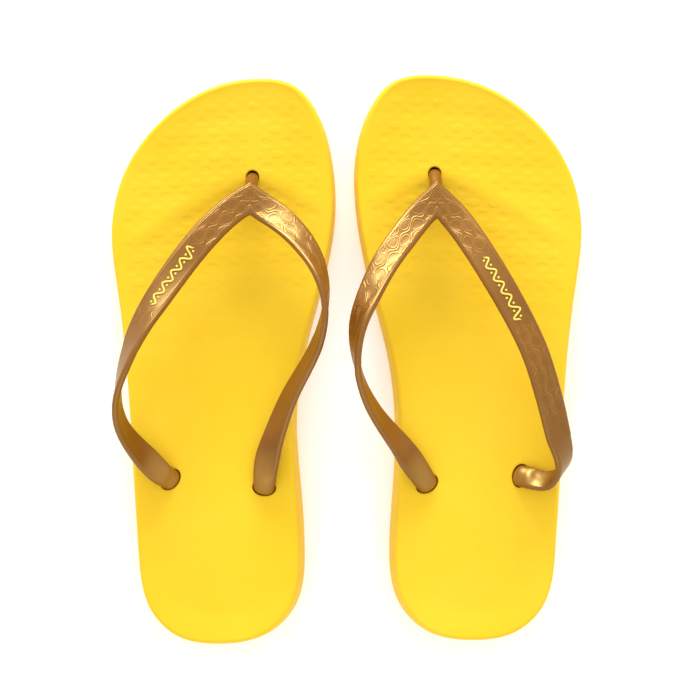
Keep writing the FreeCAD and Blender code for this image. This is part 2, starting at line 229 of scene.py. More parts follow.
# --- meshes
class Build:
    """Vertices and faces of one mesh, gathered piece by piece."""

    def __init__(self):
        self.points = []
        self.faces = []
        self.count = 0
        self.extra = []

    def add(self, points, extra=0.0):
        points = np.asarray(points, float)
        first = self.count
        self.points.append(points)
        self.extra.append(np.broadcast_to(np.asarray(extra, float), (len(points),)))
        self.count += len(points)
        return np.arange(first, self.count)

    def band(self, ring_a, ring_b):
        """Quads between two closed rings of as many vertices each."""
        a = np.append(ring_a, ring_a[0])
        b = np.append(ring_b, ring_b[0])
        self.faces.append(np.column_stack([a[:-1], a[1:], b[1:], b[:-1]]))

    def bands(self, rings, turn=1):
        """Quads from each ring to the next; a turn of -1 makes them face the other way."""
        for pair in zip(rings[:-1], rings[1:]):
            self.band(*pair[::turn])

    def triangles(self, triples):
        self.faces.append(np.asarray(triples))

    def fan(self, ring, centre):
        """Closes a ring on a middle vertex."""
        nxt = np.roll(ring, -1)
        self.faces.append(np.column_stack([ring, nxt, np.full(len(ring), centre)]))

    def object(self, name, side, attribute=None):
        """The object; the extra values become its attribute, if one is named."""
        points = in_frame(side, np.vstack(self.points))
        faces = []
        for block in self.faces:
            block = block if side > 0 else block[:, ::-1]
            faces.extend(block.tolist())
        mesh = bpy.data.meshes.new(name)
        mesh.from_pydata(points, [], faces)
        mesh.validate()
        mesh.polygons.foreach_set("use_smooth", np.ones(len(mesh.polygons), bool))
        if attribute:
            data = mesh.attributes.new(attribute, "FLOAT", "POINT")
            data.data.foreach_set("value", np.concatenate(self.extra).astype(np.float32))
        obj = bpy.data.objects.new(name, mesh)
        bpy.context.scene.collection.objects.link(obj)
        return obj


# --- the sole
TOE_WIDENING = 1.9  # the right shoe lies a little turned, so its toes reach further inwards
LATERAL_WIDENING = 0.8
HEEL_SHIFT = 1.15
# Where each of these sets in, and where it is complete
INNER_SIDE = (62, 22)
OUTER_SIDE = (64, 88)
TOE_PART = (74, 92)
FRONT_PART = (-30, -10)
HEEL_PART = (-30, -52)
HEEL_END = (-127, -112)


def smooth_at(span, x):
    return float(smooth(*span, np.array(x)))


def right_outline():
    """The right shoe's outline, which is a little wider than the left one's."""
    points = []
    for u, v in SOLE_OUTLINE:
        inner = smooth_at(INNER_SIDE, u)
        outer = smooth_at(OUTER_SIDE, u)
        heel = smooth_at(HEEL_PART, v) * smooth_at(HEEL_END, v)
        u = u - TOE_WIDENING * inner * smooth_at(TOE_PART, v)
        u = u + LATERAL_WIDENING * outer * smooth_at(FRONT_PART, v)
        points.append((u + HEEL_SHIFT * heel, v))
    return points


PROFILE = Curve(TOP_PROFILE)
PROFILE_TABLE = PROFILE.at(np.linspace(0, PROFILE.length, 400))
OUTLINE_STEPS = 4000
EDGE_POINTS = 1000
BOTTOM_EDGE_RADIUS = 1.3
TOP_EDGE_RADIUS = 1.7


def top_height(v):
    """The rim's height at each v."""
    return np.interp(v, PROFILE_TABLE[:, 0], PROFILE_TABLE[:, 1])


def floor_height(v):
    """The underside's height at each v: toe spring in front, a bevel behind."""
    spring = TOE_SPRING_RATE * np.maximum(0, v - TOE_SPRING_V) ** 2
    return spring + HEEL_BEVEL_SLOPE * np.maximum(0, HEEL_BEVEL_V - v)


class Border:
    """A sole's outline at the floor."""

    def __init__(self, points):
        self.curve = Curve(points, closed=True)
        self.fine, self.fine_inward = self.spread(OUTLINE_STEPS)
        self.tree = KDTree(len(self.fine))
        for i, (u, v) in enumerate(self.fine):
            self.tree.insert((u, v, 0), i)
        self.tree.balance()

    def spread(self, count):
        """Points evenly spread along the outline, and the direction inwards at each."""
        t = np.linspace(0, self.curve.length, count, endpoint=False)
        d = self.curve.slope(t)
        inward = np.column_stack([-d[:, 1], d[:, 0]]) / np.linalg.norm(d, axis=1)[:, None]
        return self.curve.at(t), inward

    def inset(self, uv):
        """How far inside the outline each point lies; negative outside."""
        found = [self.tree.find((u, v, 0))[1] for u, v in uv]
        gap = uv - self.fine[found]
        return np.sum(gap * self.fine_inward[found], axis=1)


BORDERS = {"left": Border(SOLE_OUTLINE), "right": Border(right_outline())}

# The footbed's ovals stand on a slanting lattice, with sunk ones halfway between raised ones
BUMP_ACROSS = np.array([9.09, -0.44])
BUMP_ALONG = np.array([0.75, 10.64])
BUMP_ORIGIN = np.array([40.6, 111.3])
BUMP_SIZE = (2.9, 1.75)
BUMP_HEIGHT = 0.17
BUMP_EDGE = (0.74, 1.08)  # shares of its size between which an oval falls away
BUMP_DOME = 0.30
BUMP_LEAST = 0.12  # share of their height that the bumps keep at the heel
BUMP_GROWTH = (-20, 48)
BUMP_MARGIN = (3.4, 6.5)  # the bumps set in this far inside the rim
CUP_SLOPE = (1.0, 15.0)
TOE_RIDGE = [(9.0, 67.5), (24.0, 75.0), (40.0, 81.0), (58.0, 74.0), (76.0, 64.5), (96.0, 51.0)]
TOE_RIDGE_HEIGHT = 0.62
TOE_RIDGE_WIDTH = 5.4
RIDGE_HEEL_SIDE = 0.72  # the ridge is narrower by this on its heel side
RIDGE_INNER_END = (6, 22)
RIDGE_OUTER_END = (104, 84)
RIDGE_PLAIN = 0.75  # share of the bumps' height left out on the ridge's crest
RIDGE_PLAIN_WIDTH = 3.0
# A plain strip runs from the toe hole towards the tip and ends at a small pip
STRIP_WIDTH = 2.6
STRIP_START = (80, 84)
STRIP_END = (113, 108)
PIP_V = 111.6
PIP_HEIGHT = 0.2
PIP_EDGE = (0.8, 1.6)


def oval_cap(uv, offset):
    """1 in the middle of each oval of the lattice, falling to 0 at its edge."""
    base = np.linalg.inv(np.column_stack([BUMP_ACROSS, BUMP_ALONG]))
    cell = (uv - BUMP_ORIGIN) @ base.T - offset
    cell = cell - np.round(cell)
    away = cell @ np.vstack([BUMP_ACROSS, BUMP_ALONG])
    radius = np.hypot(away[:, 0] / BUMP_SIZE[0], away[:, 1] / BUMP_SIZE[1])
    return (1 - smooth(*BUMP_EDGE, radius)) * (1 - BUMP_DOME * np.minimum(radius, 1) ** 2)


def distance_to_path(uv, path):
    """Distance to a run of straight pieces, and on which side: + is towards the toes."""
    best = np.full(len(uv), 1e9)
    path = np.array(path, float)
    for a, b in zip(path[:-1], path[1:]):
        d = b - a
        t = np.clip((uv - a) @ d / (d @ d), 0, 1)
        gap = uv - (a + t[:, None] * d)
        length = np.linalg.norm(gap, axis=1)
        sign = np.sign(gap[:, 1])
        closer = length < np.abs(best)
        best = np.where(closer, length * sign, best)
    return best


def footbed_height(uv, inset, toe_hole):
    """The footbed over one shoe: rim, cup, toe ridge, raised and sunk ovals, and the pip."""
    u, v = uv[:, 0], uv[:, 1]
    rim = top_height(v)
    reach = inset - WALL_FLARE * rim
    share = (v + PROFILE_REACH) / (2 * PROFILE_REACH)
    depth = CUP_DEPTH_HEEL + (CUP_DEPTH_TOE - CUP_DEPTH_HEEL) * share
    z = rim - depth * smooth(*CUP_SLOPE, reach)
    ridge = distance_to_path(uv, TOE_RIDGE)
    width = np.where(ridge > 0, TOE_RIDGE_WIDTH, TOE_RIDGE_WIDTH * RIDGE_HEEL_SIDE)
    ends = smooth(*RIDGE_INNER_END, u) * smooth(*RIDGE_OUTER_END, u)
    z = z + TOE_RIDGE_HEIGHT * bell(ridge, width) * ends
    amount = BUMP_LEAST + (1 - BUMP_LEAST) * smooth(*BUMP_GROWTH, v)
    amount = amount * smooth(*BUMP_MARGIN, reach)
    amount = amount * (1 - RIDGE_PLAIN * bell(ridge, RIDGE_PLAIN_WIDTH) * ends)
    strip = bell(u - toe_hole[0], STRIP_WIDTH) * smooth(*STRIP_START, v) * smooth(*STRIP_END, v)
    amount = amount * (1 - strip)
    relief = oval_cap(uv, np.array([0.0, 0.0])) - oval_cap(uv, np.array([0.5, 0.5]))
    z = z + BUMP_HEIGHT * amount * relief
    pip = np.hypot(u - toe_hole[0], v - PIP_V)
    return z + PIP_HEIGHT * (1 - smooth(*PIP_EDGE, pip))


TREAD_PITCH = 5.2
TREAD_DEPTH = 0.9
TREAD_WAVE = 1.5
TREAD_WAVE_LENGTH = 13.0
TREAD_EDGE = (0.55, 0.85)
TREAD_MARGIN = (6.0, 7.2)
TREAD_BALL = (4, 7)
TREAD_HEEL = (-46, -49)
BORDER_LINE_INSET = 4.4
BORDER_LINE_WIDTH = 0.5
BORDER_LINE_DEPTH = 0.5


def underside_height(uv, inset):
    """The outsole: wavy cross grooves under the ball and the heel, inside a plain border."""
    u, v = uv[:, 0], uv[:, 1]
    wave = v + TREAD_WAVE * np.sin(u * 2 * math.pi / TREAD_WAVE_LENGTH)
    groove = 0.5 + 0.5 * np.cos(wave * 2 * math.pi / TREAD_PITCH)
    groove = smooth(*TREAD_EDGE, groove)
    where = smooth(*TREAD_MARGIN, inset) * (smooth(*TREAD_BALL, v) + smooth(*TREAD_HEEL, v))
    line = bell(inset - BORDER_LINE_INSET, BORDER_LINE_WIDTH)
    return floor_height(v) + TREAD_DEPTH * groove * where + BORDER_LINE_DEPTH * line


SHOE_REACH = 110  # more than a shoe's reach from the pair's middle plane


def lattice(pitch, v_low, v_high):
    """Points of a triangular lattice over a range of v, right across the shoe."""
    rows = np.arange(v_low, v_high, pitch * math.sqrt(0.75))
    points = []
    for i, v in enumerate(rows):
        u = np.arange((i % 2) * pitch / 2, SHOE_REACH, pitch)
        points.append(np.column_stack([u, np.full(len(u), v)]))
    return np.vstack(points)


def triangulate(points, loops):
    """Triangles over points and closed loops; the first loop is the outside, others are holes."""
    everything = np.vstack([*loops, points])
    edges = []
    first = 0
    for loop in loops:
        n = len(loop)
        edges += [(first + i, first + (i + 1) % n) for i in range(n)]
        first += n
    vectors = [Vector(p) for p in everything]
    _, _, faces, origin = delaunay_2d_cdt(vectors, edges, [], 1, 1e-7)[:4]
    index = np.array([o[0] if o else -1 for o in origin])
    tri = index[np.array(faces)]
    tri = tri[(tri >= 0).all(axis=1)]
    centre = everything[tri].mean(axis=1)
    keep = np.ones(len(tri), bool)
    for loop in loops[1:]:
        keep &= ~inside(centre, loop)
    tri = tri[keep]
    a, b, c = (everything[tri[:, k]] for k in range(3))
    area = (b[:, 0] - a[:, 0]) * (c[:, 1] - a[:, 1]) - (b[:, 1] - a[:, 1]) * (c[:, 0] - a[:, 0])
    tri[area < 0] = tri[area < 0][:, ::-1]
    return tri


def inside(points, loop):
    """Whether each point is inside a small convex loop."""
    nxt = np.roll(loop, -1, axis=0)
    d = nxt - loop
    turn = np.sign(np.cross(loop[1] - loop[0], loop[2] - loop[1]))
    cross = d[None, :, 0] * (points[:, None, 1] - loop[None, :, 1])
    cross = cross - d[None, :, 1] * (points[:, None, 0] - loop[None, :, 0])
    return (cross * turn > 0).all(axis=1)


HOLE_POINTS = 56


def oval(centre, size, turn, grow=0.0):
    """An oval, size (long, wide), about a centre, counter-clockwise."""
    angle = round_angles(HOLE_POINTS)
    x = (size[0] / 2 + grow) * np.cos(angle)
    y = (size[1] / 2 + grow) * np.sin(angle)
    c, s = math.cos(turn), math.sin(turn)
    return np.column_stack([centre[0] + x * c - y * s, centre[1] + x * s + y * c])


def circle(centre, radius, turn):
    angle = round_angles(HOLE_POINTS) + turn
    return np.column_stack([centre[0] + radius * np.cos(angle), centre[1] + radius * np.sin(angle)])


def arrival_turn(shoe, arm, hole):
    """The anchor's long side is square to the way the arm arrives, in shoe coordinates."""
    last = ROUTES[shoe, arm][-1]
    return math.atan2(hole[1] - last[1], hole[0] - last[0]) + math.pi / 2


def holes_of(shoe):
    """Each hole as (centre, size at the footbed, turn), the toe hole first."""
    toe = hole_of(shoe, "toe_post")
    found = [(toe, TOE_HOLE_SIZE, 0.0)]
    for arm in ARMS:
        centre = hole_of(shoe, f"anchor_{arm}")
        found.append((centre, ANCHOR_HOLE_SIZE, arrival_turn(shoe, arm, centre)))
    return found


WALL_SHARES = (0.0, 0.12, 0.24, 0.28, 0.31, 0.34, 0.38, 0.5, 0.62, 0.74, 0.86, 0.95)
SEAM_SHARE = 0.31  # the mould's parting line, as a share of the wall's height
SEAM_DEPTH = 0.28
SEAM_WIDTH = 0.02


def sole_walls(build, border):
    """Rings up the wall and over the rim; returns the first and last, each with its (u, v)."""
    p, inward = border.spread(EDGE_POINTS)
    low = floor_height(p[:, 1])
    high = top_height(p[:, 1])
    rings = []
    loops = []

    def ring(inset, z):
        uv = p + inward * inset[:, None]
        rings.append(build.add(np.column_stack([uv, z])))
        loops.append(uv)

    for angle in np.linspace(0, math.pi / 2, 5)[:-1]:
        z = low + BOTTOM_EDGE_RADIUS * (1 - math.cos(angle))
        ring(WALL_FLARE * z + BOTTOM_EDGE_RADIUS * (1 - math.sin(angle)), z)
    wall_low = low + BOTTOM_EDGE_RADIUS
    wall_high = high - TOP_EDGE_RADIUS
    for share in WALL_SHARES:
        z = wall_low + (wall_high - wall_low) * share
        seam = SEAM_DEPTH * bell(share - SEAM_SHARE, SEAM_WIDTH)
        ring(WALL_FLARE * z + seam, z)
    for angle in np.linspace(0, math.pi / 2, 7):
        z = wall_high + TOP_EDGE_RADIUS * math.sin(angle)
        ring(WALL_FLARE * wall_high + TOP_EDGE_RADIUS * (1 - math.cos(angle)), z)
    build.bands(rings)
    return rings[0], loops[0], rings[-1], loops[-1]


RIM_STEPS = (0.6, 1.3, 2.1)  # the footbed's rings, this far inside the rim
LATTICE_END = 126
FINE_PITCH = 0.50
FINE_FROM = 28.0
COARSE_PITCH = 0.92
COARSE_TO = 27.6
BED_GAPS = (0.35, 0.3)  # the lattice keeps this far from the rings, and from the holes
UNDERSIDE_PITCH = 1.0
UNDERSIDE_STEP = 1.3
UNDERSIDE_GAPS = (0.5, 0.45)
POCKET_LIP = 0.5
HOLE_LIP = 0.6
LIP_STEPS = ((0.32, 0.05), (0.13, 0.20), (0.03, 0.45), (0.0, 0.9))  # beyond the hole, and down
HOLE_RINGS = 6


def clear_of(points, loops, gap):
    """Those of the points that are outside every loop and not too close to it."""
    for loop in loops:
        away = np.min(np.linalg.norm(points[:, None] - loop[None], axis=2), axis=1)
        points = points[(away > gap) & ~inside(points, loop)]
    return points


def add_footbed(build, border, rim_ring, rim_uv, holes):
    """The footbed inside the rim; returns its ring round each hole."""

    def add(uv):
        height = footbed_height(uv, border.inset(uv), holes[0][0])
        return build.add(np.column_stack([uv, height]))

    _, inward = border.spread(EDGE_POINTS)
    outer = rim_ring
    for step in RIM_STEPS:
        uv = rim_uv + inward * step
        ring = add(uv)
        build.band(outer, ring)
        outer = ring
    fine = lattice(FINE_PITCH, FINE_FROM, LATTICE_END)
    coarse = lattice(COARSE_PITCH, -LATTICE_END, COARSE_TO)
    points = np.vstack([fine, coarse])
    margin = WALL_FLARE * top_height(points[:, 1]) + TOP_EDGE_RADIUS + RIM_STEPS[-1] + BED_GAPS[0]
    points = points[border.inset(points) > margin]
    loops = [uv]
    for hole in holes:
        loops.append(oval(*hole, HOLE_LIP))
    points = clear_of(points, loops[1:], BED_GAPS[1])
    triples = triangulate(points, loops)
    rings = [add(loop) for loop in loops[1:]]
    lookup = np.concatenate([outer, *rings, add(points)])
    build.triangles(lookup[triples])
    return rings


def add_underside(build, border, edge_ring, edge_uv, holes):
    """The outsole inside the wall's lower edge; returns its ring round each pocket."""

    def add(uv):
        return build.add(np.column_stack([uv, underside_height(uv, border.inset(uv))]))

    _, inward = border.spread(EDGE_POINTS)
    points = lattice(UNDERSIDE_PITCH, -LATTICE_END, LATTICE_END)
    margin = BOTTOM_EDGE_RADIUS + UNDERSIDE_STEP + UNDERSIDE_GAPS[0]
    points = points[border.inset(points) > margin]
    loops = [edge_uv + inward * UNDERSIDE_STEP]
    for centre, _, turn in holes:
        loops.append(circle(centre, POCKET_RADIUS + POCKET_LIP, turn))
    points = clear_of(points, loops[1:], UNDERSIDE_GAPS[1])
    triples = triangulate(points, loops)
    rings = [add(loop) for loop in loops]
    lookup = np.concatenate([*rings, add(points)])
    build.triangles(lookup[triples][:, ::-1])
    build.band(rings[0], edge_ring)
    return rings[1:]


def hole_rings(border, hole, toe_hole):
    """A hole's rings as (loop, z): over its lip, down to its pocket, and down the pocket's wall."""
    centre, size, turn = hole
    lip = oval(centre, size, turn, HOLE_LIP)
    bed = footbed_height(lip, border.inset(lip), toe_hole)
    base = float(floor_height(np.array([centre[1]]))[0])
    ceiling = base + POCKET_DEPTH
    rings = []
    for grow, sink in LIP_STEPS:
        rings.append((oval(centre, size, turn, grow), bed - sink))
    for share in np.linspace(0, 1, HOLE_RINGS)[1:]:
        z = (bed - LIP_STEPS[-1][1]) * (1 - share) + ceiling * share
        rings.append((oval(centre, size, turn), z))
    pocket = (
        (POCKET_RADIUS - 0.6, ceiling), (POCKET_RADIUS - 0.1, ceiling - 0.15),
        (POCKET_RADIUS, ceiling - 0.6), (POCKET_RADIUS, base + 1.4), (POCKET_RADIUS + 0.1, base + 0.5),
    )
    for radius, z in pocket:
        rings.append((circle(centre, radius, turn), np.full(HOLE_POINTS, z)))
    return rings


def make_sole(shoe):
    build = Build()
    border = BORDERS[shoe]
    edge_ring, edge_uv, rim_ring, rim_uv = sole_walls(build, border)
    holes = holes_of(shoe)
    tops = add_footbed(build, border, rim_ring, rim_uv, holes)
    bottoms = add_underside(build, border, edge_ring, edge_uv, holes)
    for hole, top, bottom in zip(holes, tops, bottoms):
        previous = top
        for loop, z in hole_rings(border, hole, holes[0][0]):
            current = build.add(np.column_stack([loop, z]))
            build.band(previous, current)
            previous = current
        build.band(previous, bottom)
    sole = build.object(f"{shoe}_sole_moulding", SIDES[shoe])
    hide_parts(f"{shoe}_sole_fore", f"{shoe}_sole_rear")
    return sole


# --- the strap
SECTION_OUTER = 60  # points across the outer face
SECTION_EDGE = 5
SECTION_INNER = 12
SECTION_SQUASH = 1.25
FLAT_SHARE = 0.80  # the flat part of the outer face; the rest rolls over
EMBOSS_PITCH = 0.27
EMBOSS_RUN_OUT = 4  # the close rings go on this far past the embossing
PLAIN_PITCH = 0.75
# The share of each arm's length at which its embossing ends
EMBOSS_END = {
    ("left", "medial"): 0.50, ("left", "lateral"): 0.52,
    ("right", "medial"): 0.55, ("right", "lateral"): 0.74,
}
EMBOSS_FADE = 0.10
NECK_LENGTH = 0.12  # share of the arm over which it narrows
# The raised mark's start and end, as shares of the lateral arm's length
MOTIF_START = 0.215
MOTIF_END = 0.415
MOTIF_MARGIN = 0.03
MOTIF_PLAIN = 0.85  # share of the embossing left out under the mark


def band_section():
    """The band's section round its middle, as rows of (w, t, face, cos, sin).

    w and t are shares of the half width and half thickness, face is 1 on the outer face, and cos
    and sin give the same point's place on a round section.
    """
    edge = 1 - FLAT_SHARE
    rolls = np.linspace(0, math.pi, SECTION_EDGE * 2 + 2)[1:-1]
    rows = [(s, 1.0, 1.0) for s in np.linspace(-FLAT_SHARE, FLAT_SHARE, SECTION_OUTER)]
    rows += [(FLAT_SHARE + edge * math.sin(a), math.cos(a), 0.0) for a in rolls]
    rows += [(s, -1.0, 0.0) for s in np.linspace(FLAT_SHARE, -FLAT_SHARE, SECTION_INNER)]
    rows += [(-FLAT_SHARE - edge * math.sin(a), -math.cos(a), 0.0) for a in rolls]
    rows = np.array(rows)
    angle = np.arctan2(rows[:, 1], rows[:, 0] * SECTION_SQUASH)
    return np.column_stack([rows, np.cos(angle), np.sin(angle)])


SECTION = band_section()
CELL_ALONG = 9.6
CELL_ACROSS = 4.1
CELL_BALANCE = 0.72
WANDER = 0.5  # the pattern drifts this far across the band
WANDER_LENGTH = 23.0
WANDER_SLANT = 0.3
WEAVE = 0.9  # and this far along it
WEAVE_RATE = 0.8
LINE_LEVELS = ((0.0, 1.0), (0.75, 0.6), (-0.75, 0.6))  # level and strength of each nested line
LINE_HEIGHT = 0.15
LINE_WIDTH = 0.20
CELL_DOME = 0.06
PLAIN_EDGE = (1.9, 1.5)  # the lines die out between these distances from the band's edge


def emboss(along, across, half_width):
    """Height of the outer face's raised wavy lines, and how far each point is onto a line."""
    wander = WANDER * np.sin(along * 2 * math.pi / WANDER_LENGTH + across * WANDER_SLANT)
    x = 2 * math.pi * (along + WEAVE * np.sin(across * WEAVE_RATE)) / CELL_ALONG
    y = math.pi * (across + wander) / CELL_ACROSS
    f = np.sin(y) + CELL_BALANCE * np.cos(x)
    fx = -CELL_BALANCE * np.sin(x) * 2 * math.pi / CELL_ALONG
    fy = np.cos(y) * math.pi / CELL_ACROSS
    steep = np.sqrt(fx**2 + fy**2 + 0.01)
    line = np.zeros_like(f)
    for level, strength in LINE_LEVELS:
        line = np.maximum(line, strength * bell((f - level) / steep, LINE_WIDTH))
    inner = 1 - smooth(half_width - PLAIN_EDGE[0], half_width - PLAIN_EDGE[1], np.abs(across))
    return (LINE_HEIGHT * line + CELL_DOME * f) * inner, line * inner


KNEE_BACK = 2.8  # the arm turns down into its hole through a knee this far back from the hole
KNEE_RISE = 1.9
KNEE_ROLL = 176
STEM_ROLL = 180
STEM_LEVELS = (ARM_END_Z - 1.2, 14.0, 9.0, POCKET_DEPTH - BUTTON_CLEARANCE)
ROLL_TRIM = {"medial": 4.0, "lateral": -10.0}  # degrees, over the first part of each arm
ROLL_TRIM_IN = (0.0, 0.09)
ROLL_TRIM_OUT = (0.55, 0.25)
ROLL_SPREAD = 31  # the roll is evened out over this many rings
RUN_STEPS = 4000
STEEP = 0.15  # below this level share of its length, the band keeps its last heading


def arm_points(shoe, arm, hole):
    """The arm's centre line with its roll, down through the sole to the button."""
    points = [list(p) for p in ROUTES[shoe, arm]]
    last = np.array(points[-1][:2])
    back = (last - np.array(hole)) / np.linalg.norm(last - np.array(hole))
    points.append([*(np.array(hole) + back * KNEE_BACK), ARM_END_Z + KNEE_RISE, KNEE_ROLL])
    for z in STEM_LEVELS:
        points.append([*hole, z, STEM_ROLL])
    return points


def arm_stations(shoe, arm, curve):
    """An arm's rings, as places on its curve and distances along it, and the arm's length."""
    whole = np.linspace(0, curve.length, RUN_STEPS)
    steps = np.linalg.norm(np.diff(curve.at(whole), axis=0), axis=1)
    run = np.concatenate([[0], np.cumsum(steps)])
    end_knot = curve.knots[len(ROUTES[shoe, arm]) + 1]
    arm_length = np.interp(end_knot, whole, run)
    emboss_to = EMBOSS_END[shoe, arm] * arm_length
    embossed = np.arange(0, emboss_to + EMBOSS_RUN_OUT, EMBOSS_PITCH)
    plain = np.arange(embossed[-1] + 0.5, run[-1], PLAIN_PITCH)
    s = np.append(np.concatenate([embossed, plain]), run[-1])
    return np.interp(s, run, whole), s, arm_length


def evened(values, spread):
    kernel = np.ones(spread) / spread
    padded = np.pad(values, spread // 2, mode="edge")
    return np.convolve(padded, kernel, mode="valid")


def arm_frames(shoe, arm, hole):
    """Centres, width directions, outer normals, tangents, distances and length of an arm."""
    points = arm_points(shoe, arm, hole)
    curve = Curve([p[:3] for p in points])
    t, s, arm_length = arm_stations(shoe, arm, curve)
    centre = curve.at(t)
    tangent = curve.slope(t)
    tangent /= np.linalg.norm(tangent, axis=1)[:, None]
    roll = np.radians(np.interp(t, curve.knots, [p[3] for p in points]))
    part = s / arm_length
    trim = math.radians(ROLL_TRIM[arm]) * smooth(*ROLL_TRIM_OUT, part)
    roll = evened(roll + trim * smooth(*ROLL_TRIM_IN, part), ROLL_SPREAD)
    outboard = 1 if arm == "lateral" else -1
    wide = np.zeros_like(centre)
    normal = np.zeros_like(centre)
    heading = np.array([0.0, -1.0, 0.0])
    for i, direction in enumerate(tangent):
        level = np.array([direction[0], direction[1], 0.0])
        size = np.linalg.norm(level)
        if size > STEEP:
            heading = level / size
        out = np.array([-heading[1], heading[0], 0.0]) * outboard
        sink = -direction[2]
        up = np.array([0, 0, math.sqrt(max(0.0, 1 - sink * sink))]) + heading * sink
        wide[i] = out * math.cos(roll[i]) - up * math.sin(roll[i])
        normal[i] = up * math.cos(roll[i]) + out * math.sin(roll[i])
    return centre, wide, normal, tangent, s, arm_length


END_PART = (0.90, 0.96)  # an arm's end takes its own shape over this part of the length
TURNED_DOWN = (0.25, 0.92)  # how steep the band is while it turns into an oval
NECK_THICKENING = 0.6
STEM_TOP = 17.0
STEM_TAPER = 5.0
CROWN = 0.30  # the outer face falls away by this towards its edges
CROWN_EDGE = (1.9, 0.4)
RIM_LINE_HEIGHT = 0.10
RIM_LINE_INSET = 1.55
RIM_LINE_WIDTH = 0.25
LINE_GILT = 0.4
# A painted highlight: each arm's end is coloured a lighter gold near its tip
NOSE_PAINTED_HIGHLIGHT = 0.45
NOSE_HIGHLIGHT_PART = (0.84, 0.97)
NOSE_HIGHLIGHT_ROUND = (0.30, 1.0)
MITRE_REACH = 9.0  # the rings this near to the mitre lean towards it


def between(first, second, share):
    return first + (second - first) * share


def arm_sizes(share, neck, centre, tangent):
    """Half width and half thickness at each ring, and how far each is down inside the sole."""
    last = smooth(*END_PART, share)
    turned = smooth(*TURNED_DOWN, -tangent[:, 2]) * last
    below = smooth(0, STEM_TAPER, STEM_TOP - centre[:, 2]) * last
    end_width = between(NOSE_SIZE[0], STEM_SIZE[0], below)
    end_thickness = between(NOSE_SIZE[1], STEM_SIZE[1], below)
    half_w = between(BAND_WIDTH, end_width, neck) / 2
    half_t = (BAND_THICKNESS + NECK_THICKENING * neck) / 2
    return half_w, between(half_t, end_thickness / 2, turned), below


def emboss_amount(shoe, arm, share):
    """How much of the embossing each ring has; there is little of it under the raised mark."""
    end = EMBOSS_END[shoe, arm]
    amount = 1 - smooth(end - EMBOSS_FADE, end, share)
    if arm == "lateral":
        under_mark = smooth(MOTIF_START - MOTIF_MARGIN, MOTIF_START, share)
        under_mark = under_mark * smooth(MOTIF_END + MOTIF_MARGIN, MOTIF_END, share)
        amount = amount * (1 - MOTIF_PLAIN * under_mark)
    return amount


def section_ring(along, half_w, half_t, neck, amount):
    """One ring of an arm, across and outwards, and how gilded its raised lines are."""
    face = SECTION[:, 2]
    w = (SECTION[:, 0] * (1 - neck) + SECTION[:, 3] * neck) * half_w
    t = (SECTION[:, 1] * (1 - neck) + SECTION[:, 4] * neck) * half_t
    edge = np.abs(w)
    crown = CROWN * smooth(half_w - CROWN_EDGE[0], half_w - CROWN_EDGE[1], edge) * (1 - neck)
    t = t - np.sign(t) * crown * face
    height, line = emboss(along, w, half_w)
    rim_line = bell(edge - (half_w - RIM_LINE_INSET), RIM_LINE_WIDTH)
    lift = face * (height * amount + RIM_LINE_HEIGHT * rim_line * (1 - neck))
    return w, t + lift, LINE_GILT * line * face * amount


def lean_on_mitre(rings, direction, s, apex_u, mitre):
    """Moves the first ring into the mitre plane, or onto the mitre, and the next few with it."""
    first = rings[0].copy()
    slide = (apex_u - first[:, 0]) / direction[0]
    on_plane = first + direction * slide[:, None]
    target = on_plane if mitre is None else mitre
    for i in range(len(s)):
        if s[i] > MITRE_REACH:
            break
        rings[i] += (on_plane - first) * (1 - s[i] / MITRE_REACH)
        rings[i] += (target - on_plane) * (1 - smooth(0, MITRE_REACH, s[i]))
    return on_plane


def arm_rings(shoe, arm, hole, mitre=None):
    """An arm's rings, the tone of each point (gilt raised lines, and a painted highlight round the
    arm's end), and its own ring in the mitre plane.

    mitre is the ring that both arms share, once it is known.
    """
    centre, wide, normal, tangent, s, arm_length = arm_frames(shoe, arm, hole)
    share = s / arm_length
    neck = smooth(1 - NECK_LENGTH, 1.0, share)
    half_w, half_t, below = arm_sizes(share, neck, centre, tangent)
    amount = emboss_amount(shoe, arm, share)
    rings = []
    gilt_and_highlight = []
    for i in range(len(s)):
        w, t, lines = section_ring(s[i], half_w[i], half_t[i], neck[i], amount[i])
        rings.append(centre[i] + wide[i] * w[:, None] + normal[i] * t[:, None])
        # painted highlight: the arm's end is coloured lighter towards its tip
        nose_highlight = NOSE_PAINTED_HIGHLIGHT * smooth(*NOSE_HIGHLIGHT_PART, share[i])
        nose_highlight = nose_highlight * smooth(*NOSE_HIGHLIGHT_ROUND, np.abs(SECTION[:, 4])) * (1 - below[i])
        gilt_and_highlight.append(np.maximum(lines, nose_highlight))
    rings = np.array(rings)
    apex_u = ROUTES[shoe, arm][0][0]
    on_plane = lean_on_mitre(rings, tangent[0], s, apex_u, mitre)
    return rings, gilt_and_highlight, on_plane


# A button from its rim down and in to its middle: radius, and depth below its top
BUTTON_PROFILE = (
    (6.6, 0.0), (7.2, 0.12), (7.5, 0.45), (7.6, 1.2), (7.5, 1.95), (7.2, 2.28), (6.4, 2.4),
    (3.4, 2.4), (3.0, 2.25), (1.2, 2.2),
)
BUTTON_MIDDLE = 2.2
BUTTON_COLLAR = (5.4, 0.0)


